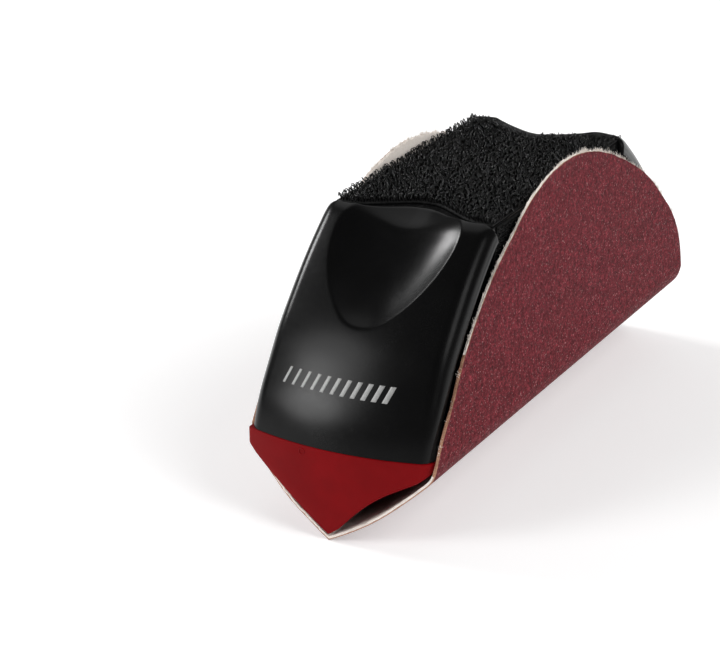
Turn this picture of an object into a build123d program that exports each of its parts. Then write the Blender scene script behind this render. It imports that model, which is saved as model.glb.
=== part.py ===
from build123d import *
import math
import os

os.makedirs("parts", exist_ok=True)

# Hand sanding block with an exchangeable contour profile, wrapped in a
# hook-and-loop abrasive sheet. Millimetres. +Z up, the block's length along Y,
# its front end towards -Y. The origin is under the middle of the block, at the
# height of the sheet's lowest edge.

# ---- driving dimensions ----
SEAM_Z = 26.2  # parting plane between the handle and the profile
HALF_LEN_CORNER = 87.2  # handle's half length at its corners, at the seam
BOW = 4.0  # how far each end bows out in plan, over BOW_HALF
BOW_HALF = 26.0
TOP_Z = 79.9  # top of the end caps
CAP_HALF_W = 27.4  # handle's half width at the seam, over the end caps
LEAN = math.tan(math.radians(2.4))  # draft of the handle's long sides
SADDLE_IN = 1.3  # how far the saddle between the caps is set in
SADDLE_TOP_Z = 77.9
SADDLE_TOP_HALF_Y = 36.0  # half length of the saddle's top between the caps
WALL = 2.5
SCOOP_R = 39.0  # finger scoop: radius of its spherical hollow
SCOOP_DEPTH = 4.6
SCOOP_C = (0.3, -60.4, 69.0)  # middle of the front scoop on the cap's face
TAPE_T = 0.6  # hook tape's backing
BASE_T = 3.0
SCREW_X, SCREW_Y = 15.5, 60.0
SCREW_R, SCREW_HEAD_R = 1.45, 2.7
BOSS_R = 3.6
SHEET_T = 1.3  # sheet: abrasive cloth with a brushed loop backing
ABRASIVE_T = 0.5
PROFILE_HALF_W = 27.8
SHEET_IN = 28.1  # inner face of the sheet beside the profile
PROFILE_PROUD = 0.4  # how far the profile stands out past the handle's ends
HINGE_Z = 25.4  # where each flap starts to peel, at the sheet's outer face
TONGUE_Y, TONGUE_LEN, TONGUE_T, TONGUE_H = 46.0, 20.0, 2.4, 8.0
SOCKET_WALL = 1.6  # walls of the base plate's two closed sockets

HINGE_X = SHEET_IN + SHEET_T

# cap outline in side view, at the cap's corner (y, z)
CAP_SIDE = [
    (-87.2, 26.2),
    (-84.3, 35.1),
    (-79.7, 43.3),
    (-74.5, 51.3),
    (-68.0, 58.9),
    (-60.9, 66.3),
    (-53.7, 72.4),
    (-47.6, 76.7),
    (-43.0, 78.6),
    (-36.0, 79.6),
    (-26.0, TOP_Z),
]

# flap outline in side view (y, z), from its front foot over the rounded tip
FLAP_SIDE = [
    (-86.0, 25.4),
    (-82.3, 31.0),
    (-77.7, 37.4),
    (-71.6, 45.4),
    (-65.5, 52.0),
    (-57.8, 59.0),
    (-50.0, 64.9),
    (-42.6, 69.6),
    (-36.0, 73.3),
    (-28.5, 77.1),
    (-20.6, 80.5),
    (-11.2, 83.4),
    (-1.0, 84.8),
    (10.6, 84.2),
    (21.0, 81.8),
    (31.1, 78.3),
    (41.3, 73.7),
    (51.4, 68.4),
    (60.2, 62.8),
    (68.2, 56.6),
    (76.6, 48.6),
    (82.2, 41.6),
    (85.6, 34.4),
    (86.3, 29.2),
    (86.0, 25.4),
]

# the profile's face in front view (x, z), right side, from the apex up
CONCAVE = [
    (-0.9, 1.8),
    (2.5, 4.3),
    (4.3, 6.3),
    (7.3, 9.4),
    (11.1, 12.8),
    (16.0, 16.2),
    (20.3, 18.5),
    (24.0, 20.4),
]

# outer face of the sheet in front view (x, z)
SHEET_RIGHT = [
    (-0.9, 0.0),
    (5.9, 3.6),
    (13.6, 8.5),
    (19.8, 13.5),
    (25.2, 18.3),
    (28.3, 21.9),
    (29.4, HINGE_Z),
]
SHEET_LEFT = [(-0.9, 0.0), (-26.1, 18.4), (-29.4, 21.45), (-29.4, HINGE_Z)]


def save(shape, name):
    shape.label = name
    export_step(shape, "parts/" + name + ".step")
    print(name, round(shape.volume))


def solids_of(shape):
    kept = sorted(shape.solids(), key=lambda s: -s.volume)
    return kept


def block(x0, x1, y0, y1, z0, z1):
    return Pos((x0 + x1) / 2, (y0 + y1) / 2, (z0 + z1) / 2) * Box(
        x1 - x0, y1 - y0, z1 - z0
    )


def prism_x(points, x0, x1):
    """Closed polygon (y, z) run along X."""
    wire = Polyline(*[(x0, y, z) for y, z in points], close=True)
    return Solid.extrude(Face(Wire(wire.edges())), Vector(x1 - x0, 0, 0))


def prism_y(points, y0, y1):
    """Closed polygon (x, z) run along Y."""
    wire = Polyline(*[(x, y0, z) for x, z in points], close=True)
    return Solid.extrude(Face(Wire(wire.edges())), Vector(0, y1 - y0, 0))


def bow_radius():
    return (BOW_HALF**2 + BOW**2) / (2 * BOW)


def end_y(x, corner):
    """Front end's y at x for a corner half length."""
    r = bow_radius()
    return -(corner + BOW - r) - math.sqrt(r * r - x * x)


def lens(half_w, corner, z0, z1):
    """Plan shape with straight sides and bowed ends, run along Z."""
    a = end_y(half_w, corner)
    front = ThreePointArc((-half_w, a, z0), (0, end_y(0, corner), z0), (half_w, a, z0))
    right = Line((half_w, a, z0), (half_w, -a, z0))
    rear = ThreePointArc((half_w, -a, z0), (0, -end_y(0, corner), z0), (-half_w, -a, z0))
    left = Line((-half_w, -a, z0), (-half_w, a, z0))
    face = Face(Wire([front, right, rear, left]))
    return Solid.extrude(face, Vector(0, 0, z1 - z0))


def bowed_half(side_points, floor_z, half_w=32.0):
    """The side outline carried across the width along the plan bow, y <= 0 half."""
    sections = []
    for k in range(9):
        x = half_w * (k - 4) / 4
        off = end_y(x, 0.0) - end_y(BOW_HALF, 0.0)
        pts = [(x, y + off, z) for y, z in side_points]
        top = pts[-1][2]
        sections.append(
            Wire(
                [
                    Spline(*pts),
                    Line(pts[-1], (x, 30, top)),
                    Line((x, 30, top), (x, 30, floor_z)),
                    Line((x, 30, floor_z), pts[0]),
                ]
            )
        )
    body = Solid.make_loft(sections)
    return body.intersect(block(-40, 40, -150, 0, -50, 150)).solids()[0]


def both_ends(half):
    other = half.mirror(Plane.XZ)
    return (half + other).solids()[0]


def trapezoid(half_w, z0, z1, lean):
    return [
        (-(half_w - (z0 - SEAM_Z) * lean), z0),
        (half_w - (z0 - SEAM_Z) * lean, z0),
        (half_w - (z1 - SEAM_Z) * lean, z1),
        (-(half_w - (z1 - SEAM_Z) * lean), z1),
    ]


def side_offset(points, d):
    """Shift an open outline (y, z) to its inner side by d."""
    out = []
    for i, (y, z) in enumerate(points):
        a = points[max(0, i - 1)]
        b = points[min(len(points) - 1, i + 1)]
        t = math.hypot(b[0] - a[0], b[1] - a[1])
        ny, nz = (b[1] - a[1]) / t, -(b[0] - a[0]) / t
        out.append((y + ny * d, z + nz * d))
    return out


def path_offset(points, d):
    """Shift a polyline (x, z) sideways by d, mitred at its corners."""
    segs = []
    for a, b in zip(points, points[1:]):
        t = math.hypot(b[0] - a[0], b[1] - a[1])
        nx, nz = -(b[1] - a[1]) / t * d, (b[0] - a[0]) / t * d
        segs.append(((a[0] + nx, a[1] + nz), (b[0] + nx, b[1] + nz)))
    out = [segs[0][0]]
    for (p, q), (r, s) in zip(segs, segs[1:]):
        d1 = (q[0] - p[0], q[1] - p[1])
        d2 = (s[0] - r[0], s[1] - r[1])
        den = d1[0] * d2[1] - d1[1] * d2[0]
        if abs(den) < 1e-6:
            out.append(q)
            continue
        u = ((r[0] - p[0]) * d2[1] - (r[1] - p[1]) * d2[0]) / den
        out.append((p[0] + d1[0] * u, p[1] + d1[1] * u))
    out.append(segs[-1][1])
    return out


# ---- housing ----
outer = both_ends(bowed_half(CAP_SIDE, SEAM_Z))
outer = outer.intersect(prism_y(trapezoid(CAP_HALF_W, 20, 90, LEAN), -120, 120)).solids()[0]

# the saddle: sides and top set in between the two caps
saddle_outline = [(-84.6, 20.0)]
for y, z in FLAP_SIDE[:12]:
    t = 0.9
    saddle_outline.append((y - t, z + t * 0.4))
front_run = [(y, z) for y, z in saddle_outline if z < SADDLE_TOP_Z]
front_run = [(max(y, -85.4), z) for y, z in front_run]
run = front_run + [(-SADDLE_TOP_HALF_Y, 84.0)]
run = [p for p in run if not (p[0] > -SADDLE_TOP_HALF_Y and p[1] < 84.0)]
loop = run + [(-y, z) for y, z in reversed(run)]
for s in (1, -1):
    inner_x = [
        (s * (CAP_HALF_W - SADDLE_IN - (20 - SEAM_Z) * LEAN), 20),
        (s * 40, 20),
        (s * 40, 95),
        (s * (CAP_HALF_W - SADDLE_IN - (95 - SEAM_Z) * LEAN), 95),
    ]
    side_cut = prism_x(loop, -50, 50).intersect(prism_y(inner_x, -120, 120)).solids()[0]
    outer = (outer - side_cut).solids()[0]
outer = (
    outer
    - block(-40, 40, -SADDLE_TOP_HALF_Y, SADDLE_TOP_HALF_Y, SADDLE_TOP_Z, 100)
).solids()[0]

# inner hollow, open at the bottom
inner_side = side_offset(CAP_SIDE[:-2], WALL)
inner_side = [p for p in inner_side if p[1] < SADDLE_TOP_Z - WALL - 2.0]
inner_side = [(inner_side[0][0], SEAM_Z - 1)] + inner_side[1:]
inner_side.append((-30.0, SADDLE_TOP_Z - WALL))
inner = both_ends(bowed_half(inner_side, SEAM_Z - 1))
inner = inner.intersect(
    prism_y(trapezoid(CAP_HALF_W - SADDLE_IN - WALL, 20, 90, LEAN), -120, 120)
).solids()[0]


def scoop(side, grow):
    c = SCOOP_C
    n = Vector(0, -math.cos(math.radians(44)), math.sin(math.radians(44)))
    centre = Vector(*c) + n * (SCOOP_R - SCOOP_DEPTH)
    ball = Pos(centre.X, centre.Y, centre.Z) * Sphere(SCOOP_R + grow)
    return ball if side < 0 else ball.mirror(Plane.XZ)


for s in (-1, 1):
    inner = (inner - scoop(s, WALL)).solids()[0]
for sx in (-1, 1):
    for sy in (-1, 1):
        boss = Pos(sx * SCREW_X, sy * SCREW_Y, 55) * Cylinder(BOSS_R, 60)
        inner = (inner - boss).solids()[0]
housing = (outer - inner).solids()[0]
for s in (-1, 1):
    housing = (housing - scoop(s, 0)).solids()[0]
# rebate that takes the base plate, then the pilot holes
housing = (
    housing - lens(CAP_HALF_W - SADDLE_IN - 1.3, HALF_LEN_CORNER - 2.0, SEAM_Z - 2, SEAM_Z + BASE_T)
).solids()[0]
for sx in (-1, 1):
    for sy in (-1, 1):
        housing = (
            housing
            - Pos(sx * SCREW_X, sy * SCREW_Y, SEAM_Z + BASE_T + 4.5) * Cylinder(SCREW_R + 0.02, 11)
        ).solids()[0]
save(housing, "housing")

# ---- base plate ----
base = lens(
    CAP_HALF_W - SADDLE_IN - 1.3 - 0.15,
    HALF_LEN_CORNER - 2.0 - 0.15,
    SEAM_Z + 0.1,
    SEAM_Z + BASE_T - 0.02,
)
for sy in (-1, 1):
    # a socket tower, closed at its top, that takes one of the profile's tongues
    half_t = TONGUE_T / 2 + 0.45
    y0 = sy * TONGUE_Y - TONGUE_LEN / 2 - 0.2
    y1 = sy * TONGUE_Y + TONGUE_LEN / 2 + 0.2
    top = SEAM_Z + TONGUE_H + 0.4
    base = base + block(
        -half_t - SOCKET_WALL,
        half_t + SOCKET_WALL,
        y0 - SOCKET_WALL,
        y1 + SOCKET_WALL,
        SEAM_Z + 1,
        top + SOCKET_WALL,
    )
    base = base - block(-half_t, half_t, y0, y1, SEAM_Z - 5, top)
    for sx in (-1, 1):
        at = Pos(sx * SCREW_X, sy * SCREW_Y, 0)
        base = base - at * Pos(0, 0, SEAM_Z) * Cylinder(SCREW_R + 0.2, 20)
        base = base - at * Pos(0, 0, SEAM_Z + 0.1 - 3 + 1.5) * Cylinder(SCREW_HEAD_R + 0.2, 6)
base = solids_of(base)[0]
save(base, "base_plate")

# ---- screws: four pan-head self-tappers with a cross recess ----
screws = []
for sx in (-1, 1):
    for sy in (-1, 1):
        z0 = SEAM_Z + 0.25
        head = Pos(0, 0, z0 + 0.65) * Cylinder(SCREW_HEAD_R, 1.3)
        head = head - Pos(0, 0, z0) * Box(3.2, 0.7, 1.4) - Pos(0, 0, z0) * Box(0.7, 3.2, 1.4)
        shank = Pos(0, 0, z0 + 1.3 + 4.5) * Cylinder(SCREW_R, 9.0)
        tip = Pos(0, 0, z0 + 1.3 + 9.0 + 0.75) * Cone(SCREW_R, 0.3, 1.5)
        one = solids_of(head + shank + tip)[0]
        screws.append(Pos(sx * SCREW_X, sy * SCREW_Y, 0) * one)
save(Compound(children=screws), "base_screws")

# ---- hook tape ----
saddle_half = CAP_HALF_W - SADDLE_IN
top_half = saddle_half - (SADDLE_TOP_Z - SEAM_Z) * LEAN
tape_top = block(
    -top_half + 0.1,
    top_half - 0.1,
    -SADDLE_TOP_HALF_Y + 0.5,
    SADDLE_TOP_HALF_Y - 0.5,
    SADDLE_TOP_Z,
    SADDLE_TOP_Z + TAPE_T,
)
save(solids_of(tape_top)[0], "hook_tape_top")
tape_front = [
    (-81.5, 28.0),
    (-76.0, 37.5),
    (-69.5, 45.5),
    (-63.0, 52.0),
    (-55.5, 58.8),
    (-48.0, 64.4),
    (-40.5, 69.0),
    (-35.5, 72.0),
    (-35.5, SADDLE_TOP_Z - 0.1),
]
tape_loop = tape_front + [(-y, z) for y, z in reversed(tape_front)]
for s, name in ((1, "hook_tape_right"), (-1, "hook_tape_left")):
    a, b = saddle_half, saddle_half + TAPE_T
    slab = prism_y(
        [
            (s * (a - (20 - SEAM_Z) * LEAN), 20),
            (s * (b - (20 - SEAM_Z) * LEAN), 20),
            (s * (b - (90 - SEAM_Z) * LEAN), 90),
            (s * (a - (90 - SEAM_Z) * LEAN), 90),
        ],
        -120,
        120,
    )
    tape = slab.intersect(prism_x(tape_loop, -50, 50)).solids()[0]
    save(tape, name)

# ---- exchangeable contour profile ----
left_face = [(-PROFILE_HALF_W, SEAM_Z), (-PROFILE_HALF_W, 21.9), (-25.2, 19.5), CONCAVE[0]]
right_wall = [(26.0, 22.0), (27.0, 23.6), (PROFILE_HALF_W, 25.2), (PROFILE_HALF_W, SEAM_Z)]
outline = Wire(
    [
        Line((left_face[0][0], 0, left_face[0][1]), (left_face[1][0], 0, left_face[1][1])),
        Line((left_face[1][0], 0, left_face[1][1]), (left_face[2][0], 0, left_face[2][1])),
        Line((left_face[2][0], 0, left_face[2][1]), (left_face[3][0], 0, left_face[3][1])),
        Spline(*[(x, 0, z) for x, z in CONCAVE]),
        Line((CONCAVE[-1][0], 0, CONCAVE[-1][1]), (right_wall[0][0], 0, right_wall[0][1])),
        Line((right_wall[0][0], 0, right_wall[0][1]), (right_wall[1][0], 0, right_wall[1][1])),
        Line((right_wall[1][0], 0, right_wall[1][1]), (right_wall[2][0], 0, right_wall[2][1])),
        Line((right_wall[2][0], 0, right_wall[2][1]), (right_wall[3][0], 0, right_wall[3][1])),
        Line((right_wall[3][0], 0, right_wall[3][1]), (left_face[0][0], 0, left_face[0][1])),
    ]
)
bar = Solid.extrude(Face(outline), Vector(0, 240, 0)).moved(Location((0, -120, 0)))
plan = lens(30.0, HALF_LEN_CORNER + PROFILE_PROUD, -5, SEAM_Z)
profile = bar.intersect(plan).solids()[0]
# lightening pockets from the top, between cross ribs
pocket_len, rib = 15.0, 2.6
count = 9
for i in range(count):
    y = (i - (count - 1) / 2) * (pocket_len + rib)
    for pts in (
        [(-24.6, 30), (-24.6, 22.6), (-2.0, 6.6), (-2.0, 30)],
        [(2.0, 30), (2.0, 8.6), (6.0, 12.6), (13.0, 18.4), (19.5, 21.8), (24.6, 23.8), (24.6, 30)],
    ):
        profile = profile - prism_y(pts, y - pocket_len / 2, y + pocket_len / 2)
# two tongues that stand up through the base plate's slots, each with a bead
for sy in (-1, 1):
    y0, y1 = sy * TONGUE_Y - TONGUE_LEN / 2, sy * TONGUE_Y + TONGUE_LEN / 2
    tongue = block(-TONGUE_T / 2, TONGUE_T / 2, y0, y1, SEAM_Z - 12, SEAM_Z + TONGUE_H)
    bead = Pos(0, 0, SEAM_Z + 5.2) * Rot(90, 0, 0) * Cylinder(1.5, TONGUE_LEN)
    bead = Pos(0, sy * TONGUE_Y, 0) * bead
    profile = profile + tongue + bead
profile = solids_of(profile)[0]
save(profile, "profile_insert")

# ---- abrasive sheet: a middle part round the profile, and a flap up each side ----
sheet_plan = lens(31.0, HALF_LEN_CORNER + PROFILE_PROUD - 0.2, -5, HINGE_Z + 0.0001)
below_hinge = block(-40, 40, -120, 120, -10, HINGE_Z)


def mid_layer(points, d0, d1, side):
    a, b = path_offset(points, d0 * side), path_offset(points, d1 * side)
    # run both ends on past their cuts, so that the mitre at the apex is clean
    def run_on(p):
        (x0, z0), (x1, z1) = p[0], p[1]
        t = math.hypot(x1 - x0, z1 - z0)
        first = (x0 - (x1 - x0) / t * 4, z0 - (z1 - z0) / t * 4)
        (x2, z2), (x3, z3) = p[-2], p[-1]
        t = math.hypot(x3 - x2, z3 - z2)
        last = (x3 + (x3 - x2) / t * 3, z3 + (z3 - z2) / t * 3)
        return [first] + p[1:-1] + [last]
    a, b = run_on(a), run_on(b)
    return prism_y(a + list(reversed(b)), -120, 120)


# plane that halves the apex angle
u1 = Vector(*(SHEET_RIGHT[1][0] + 0.9, 0, SHEET_RIGHT[1][1])).normalized()
u2 = Vector(*(SHEET_LEFT[1][0] + 0.9, 0, SHEET_LEFT[1][1])).normalized()
bis = (u1 + u2).normalized()
ax, az = SHEET_RIGHT[0]
wedge_right = prism_y(
    [(ax - bis.X * 20, az - bis.Z * 20), (60, -20), (60, 60), (ax + bis.X * 60, az + bis.Z * 60)],
    -120,
    120,
)
wedge_left = prism_y(
    [(ax - bis.X * 20, az - bis.Z * 20), (-60, -20), (-60, 60), (ax + bis.X * 60, az + bis.Z * 60)],
    -120,
    120,
)
for pts, side, wedge, name in (
    (SHEET_RIGHT, 1, wedge_right, "right"),
    (SHEET_LEFT, -1, wedge_left, "left"),
):
    for d0, d1, layer in ((0.0, ABRASIVE_T, "abrasive"), (ABRASIVE_T, SHEET_T, "loop")):
        piece = mid_layer(pts, d0, d1, side)
        piece = piece.intersect(wedge).solids()[0]
        piece = piece.intersect(below_hinge).solids()[0]
        piece = piece.intersect(sheet_plan).solids()[0]
        save(piece, "sheet_middle_" + name + "_" + layer)

flap_loop = Wire(
    [
        Spline(*[(-40, y, z) for y, z in FLAP_SIDE]),
        Line((-40, FLAP_SIDE[-1][0], FLAP_SIDE[-1][1]), (-40, FLAP_SIDE[0][0], FLAP_SIDE[0][1])),
    ]
)
flap_shape = Solid.extrude(Face(flap_loop), Vector(80, 0, 0))
flap_shape = flap_shape.intersect(block(-60, 60, -120, 120, HINGE_Z + 0.1, 120)).solids()[0]
for s, name in ((1, "right"), (-1, "left")):
    for d0, d1, layer in ((0.0, ABRASIVE_T, "abrasive"), (ABRASIVE_T, SHEET_T, "loop")):
        a, b = HINGE_X - d0, HINGE_X - d1
        slab = prism_y(
            [
                (s * (a - (20 - HINGE_Z) * LEAN), 20),
                (s * (b - (20 - HINGE_Z) * LEAN), 20),
                (s * (b - (90 - HINGE_Z) * LEAN), 90),
                (s * (a - (90 - HINGE_Z) * LEAN), 90),
            ],
            -120,
            120,
        )
        save(slab.intersect(flap_shape).solids()[0], "flap_" + name + "_" + layer)
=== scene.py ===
import math

import bpy
import numpy as np
from mathutils import Matrix, Vector


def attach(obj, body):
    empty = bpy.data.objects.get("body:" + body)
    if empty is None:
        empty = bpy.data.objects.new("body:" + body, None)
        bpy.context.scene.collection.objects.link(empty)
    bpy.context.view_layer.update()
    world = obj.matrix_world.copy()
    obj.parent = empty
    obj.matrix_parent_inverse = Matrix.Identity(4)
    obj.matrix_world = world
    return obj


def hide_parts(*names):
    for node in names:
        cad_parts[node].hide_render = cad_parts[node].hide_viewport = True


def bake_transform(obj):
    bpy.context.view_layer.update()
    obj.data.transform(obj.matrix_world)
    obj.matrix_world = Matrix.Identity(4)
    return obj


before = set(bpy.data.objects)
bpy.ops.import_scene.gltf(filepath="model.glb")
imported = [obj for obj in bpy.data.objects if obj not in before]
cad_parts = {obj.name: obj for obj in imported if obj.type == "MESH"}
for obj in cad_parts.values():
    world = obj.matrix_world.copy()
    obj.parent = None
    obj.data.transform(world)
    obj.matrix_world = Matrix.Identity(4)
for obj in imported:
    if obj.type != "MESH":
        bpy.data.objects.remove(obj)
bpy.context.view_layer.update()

MM = 0.001
scene = bpy.context.scene

# ------------------------------------------------------------------ mesh tools


def add_mesh(name, verts, faces, mats=(), mat_index=None, smooth=True):
    """verts in millimetres."""
    me = bpy.data.meshes.new(name)
    v = np.asarray(verts, float) * MM
    me.from_pydata([tuple(p) for p in v], [], [tuple(int(i) for i in f) for f in faces])
    for m in mats:
        me.materials.append(m)
    if mat_index is not None:
        me.polygons.foreach_set("material_index", np.asarray(mat_index, np.int32))
    me.polygons.foreach_set("use_smooth", [smooth] * len(me.polygons))
    me.update()
    ob = bpy.data.objects.new(name, me)
    scene.collection.objects.link(ob)
    return ob


def grid_faces(rows, cols, start=0, flip=False):
    i = np.arange(rows - 1)[:, None] * cols + np.arange(cols - 1)[None, :] + start
    q = np.stack([i, i + 1, i + cols + 1, i + cols], -1).reshape(-1, 4)
    return q[:, ::-1] if flip else q


def grid_normals(g):
    du = np.gradient(g, axis=1)
    dv = np.gradient(g, axis=0)
    n = np.cross(du, dv)
    return n / np.maximum(np.linalg.norm(n, axis=-1, keepdims=True), 1e-9)


def cubic(t, v, q):
    """Natural cubic spline through (t, v), read at q."""
    t, v, q = (np.asarray(a, float) for a in (t, v, q))
    n, h = len(t), np.diff(t)
    a, b = np.zeros((n, n)), np.zeros(n)
    a[0, 0] = a[-1, -1] = 1
    for i in range(1, n - 1):
        a[i, i - 1], a[i, i], a[i, i + 1] = h[i - 1], 2 * (h[i - 1] + h[i]), h[i]
        b[i] = 3 * ((v[i + 1] - v[i]) / h[i] - (v[i] - v[i - 1]) / h[i - 1])
    c = np.linalg.solve(a, b)
    i = np.clip(np.searchsorted(t, q) - 1, 0, n - 2)
    d = q - t[i]
    bb = (v[i + 1] - v[i]) / h[i] - h[i] * (2 * c[i] + c[i + 1]) / 3
    dd = (c[i + 1] - c[i]) / (3 * h[i])
    return v[i] + bb * d + c[i] * d**2 + dd * d**3


def curve2(points, n):
    """Smooth open curve through 2-D points, n points evenly spaced along it."""
    p = np.array(points, float)
    c = np.r_[0, np.cumsum(np.hypot(*np.diff(p, axis=0).T))]
    f = np.linspace(0, c[-1], 4000)
    a, b = cubic(c, p[:, 0], f), cubic(c, p[:, 1], f)
    s = np.r_[0, np.cumsum(np.hypot(np.diff(a), np.diff(b)))]
    q = np.linspace(0, s[-1], n)
    return np.stack([np.interp(q, s, a), np.interp(q, s, b)], -1)


def smooth01(t):
    t = np.clip(t, 0, 1)
    return t * t * (3 - 2 * t)


def wobble(seed, q, period, octaves=3):
    """Smooth repeatable 1-D noise, about -1 to 1."""
    r = np.random.RandomState(seed)
    out, amp, total = 0.0, 1.0, 0.0
    for _ in range(octaves):
        k = int(np.max(q) / period) + 4
        table = r.uniform(-1, 1, k + 2)
        x = np.asarray(q, float) / period
        i = np.clip(np.floor(x).astype(int), 0, k)
        f = smooth01(x - i)
        out = out + amp * (table[i] * (1 - f) + table[np.minimum(i + 1, k + 1)] * f)
        total += amp
        amp *= 0.5
        period *= 0.5
    return out / total


def tubes(lines, radii, sides=4):
    """Many small tapered tubes. lines (n, k, 3), radii (k,) or (n, k)."""
    lines = np.asarray(lines, float)
    n, k = lines.shape[:2]
    radii = np.broadcast_to(np.asarray(radii, float), (n, k))
    t = np.gradient(lines, axis=1)
    t /= np.maximum(np.linalg.norm(t, axis=-1, keepdims=True), 1e-9)
    ref = np.cross(t[:, 0], np.array([0.31, 0.57, 0.76]))
    ref /= np.linalg.norm(ref, axis=-1, keepdims=True)
    a = ref[:, None, :] - (ref[:, None, :] * t).sum(-1, keepdims=True) * t
    a /= np.maximum(np.linalg.norm(a, axis=-1, keepdims=True), 1e-9)
    b = np.cross(t, a)
    ang = np.arange(sides) * 2 * math.pi / sides
    ring = (
        lines[:, :, None, :]
        + radii[:, :, None, None]
        * (np.cos(ang)[None, None, :, None] * a[:, :, None, :] + np.sin(ang)[None, None, :, None] * b[:, :, None, :])
    )
    verts = ring.reshape(-1, 3)
    base = np.arange(n)[:, None, None] * k * sides
    seg = np.arange(k - 1)[None, :, None] * sides
    j = np.arange(sides)[None, None, :]
    j2 = (j + 1) % sides
    quads = np.stack([base + seg + j, base + seg + j2, base + seg + sides + j2, base + seg + sides + j], -1).reshape(-1, 4)
    first = (np.arange(n)[:, None] * k * sides + np.arange(sides)[None, ::-1])
    last = (np.arange(n)[:, None] * k * sides + (k - 1) * sides + np.arange(sides)[None, :])
    faces = [tuple(q) for q in quads] + [tuple(q) for q in first] + [tuple(q) for q in last]
    return verts, faces


# ------------------------------------------------------------------- materials


def material(name):
    m = bpy.data.materials.new(name)
    m.use_nodes = True
    nt = m.node_tree
    for n in list(nt.nodes):
        nt.nodes.remove(n)
    out = nt.nodes.new("ShaderNodeOutputMaterial")
    bsdf = nt.nodes.new("ShaderNodeBsdfPrincipled")
    nt.links.new(bsdf.outputs["BSDF"], out.inputs["Surface"])
    coord = nt.nodes.new("ShaderNodeTexCoord")
    return m, nt, bsdf, coord.outputs["Object"]


def lin(r, g, b):
    f = lambda c: c / 12.92 if c <= 0.04045 else ((c + 0.055) / 1.055) ** 2.4
    return (f(r / 255), f(g / 255), f(b / 255), 1)


def tex_noise(nt, vec, scale, detail=4, rough=0.55, distortion=0.0):
    n = nt.nodes.new("ShaderNodeTexNoise")
    n.inputs["Scale"].default_value = scale
    n.inputs["Detail"].default_value = detail
    n.inputs["Roughness"].default_value = rough
    n.inputs["Distortion"].default_value = distortion
    nt.links.new(vec, n.inputs["Vector"])
    return n


def tex_voronoi(nt, vec, scale, feature="F1"):
    n = nt.nodes.new("ShaderNodeTexVoronoi")
    n.feature = feature
    n.inputs["Scale"].default_value = scale
    nt.links.new(vec, n.inputs["Vector"])
    return n


def ramp(nt, fac, stops, interpolation="LINEAR"):
    n = nt.nodes.new("ShaderNodeValToRGB")
    n.color_ramp.interpolation = interpolation
    e = n.color_ramp.elements
    e[0].position, e[0].color = stops[0]
    e[1].position, e[1].color = stops[-1]
    for p, c in stops[1:-1]:
        x = e.new(p)
        x.color = c
    nt.links.new(fac, n.inputs["Fac"])
    return n.outputs["Color"]


def grey(v):
    return (v, v, v, 1)


def mix(nt, fac, a, b, mode="MIX"):
    n = nt.nodes.new("ShaderNodeMix")
    n.data_type = "RGBA"
    n.blend_type = mode
    if isinstance(fac, (int, float)):
        n.inputs["Factor"].default_value = fac
    else:
        nt.links.new(fac, n.inputs["Factor"])
    for sock, v in (("A", a), ("B", b)):
        s = [i for i in n.inputs if i.name == sock and i.type == "RGBA"][0]
        if isinstance(v, tuple):
            s.default_value = v
        else:
            nt.links.new(v, s)
    return [o for o in n.outputs if o.type == "RGBA"][0]


def maths(nt, op, a, b=0.0):
    n = nt.nodes.new("ShaderNodeMath")
    n.operation = op
    for i, v in enumerate((a, b)):
        if isinstance(v, (int, float)):
            n.inputs[i].default_value = v
        else:
            nt.links.new(v, n.inputs[i])
    return n.outputs[0]


def bump(nt, bsdf, height, distance, strength=1.0, chain=None):
    n = nt.nodes.new("ShaderNodeBump")
    n.inputs["Strength"].default_value = strength
    n.inputs["Distance"].default_value = distance
    nt.links.new(height, n.inputs["Height"])
    if chain is not None:
        nt.links.new(chain, n.inputs["Normal"])
    nt.links.new(n.outputs["Normal"], bsdf.inputs["Normal"])
    return n.outputs["Normal"]


def gloss_black():
    m, nt, b, v = material("gloss_black_abs")
    cloud = tex_noise(nt, v, 60, 3)
    fine = tex_noise(nt, v, 900, 5, 0.6)
    nt.links.new(ramp(nt, cloud.outputs["Fac"], [(0.3, (0.0018, 0.0018, 0.0019, 1)), (0.75, (0.003, 0.003, 0.0031, 1))]), b.inputs["Base Color"])
    smear = tex_noise(nt, v, 35, 6, 0.65, 0.6)
    rough = maths(nt, "ADD", maths(nt, "MULTIPLY", smear.outputs["Fac"], 0.14), maths(nt, "MULTIPLY", fine.outputs["Fac"], 0.08))
    nt.links.new(maths(nt, "ADD", rough, 0.14), b.inputs["Roughness"])
    b.inputs["Specular IOR Level"].default_value = 0.2
    b.inputs["IOR"].default_value = 1.5
    peel = tex_noise(nt, v, 420, 2, 0.4)
    c = bump(nt, b, peel.outputs["Fac"], 0.00001, 0.5)
    bump(nt, b, fine.outputs["Fac"], 0.000006, 0.5, c)
    return m


def satin_black():
    m, nt, b, v = material("spark_textured_black")
    fine = tex_noise(nt, v, 2200, 5, 0.6)
    cloud = tex_noise(nt, v, 80, 3)
    nt.links.new(ramp(nt, cloud.outputs["Fac"], [(0.3, grey(0.012)), (0.75, grey(0.022))]), b.inputs["Base Color"])
    nt.links.new(maths(nt, "ADD", maths(nt, "MULTIPLY", fine.outputs["Fac"], 0.25), 0.42), b.inputs["Roughness"])
    bump(nt, b, fine.outputs["Fac"], 0.00004, 0.8)
    return m


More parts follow.
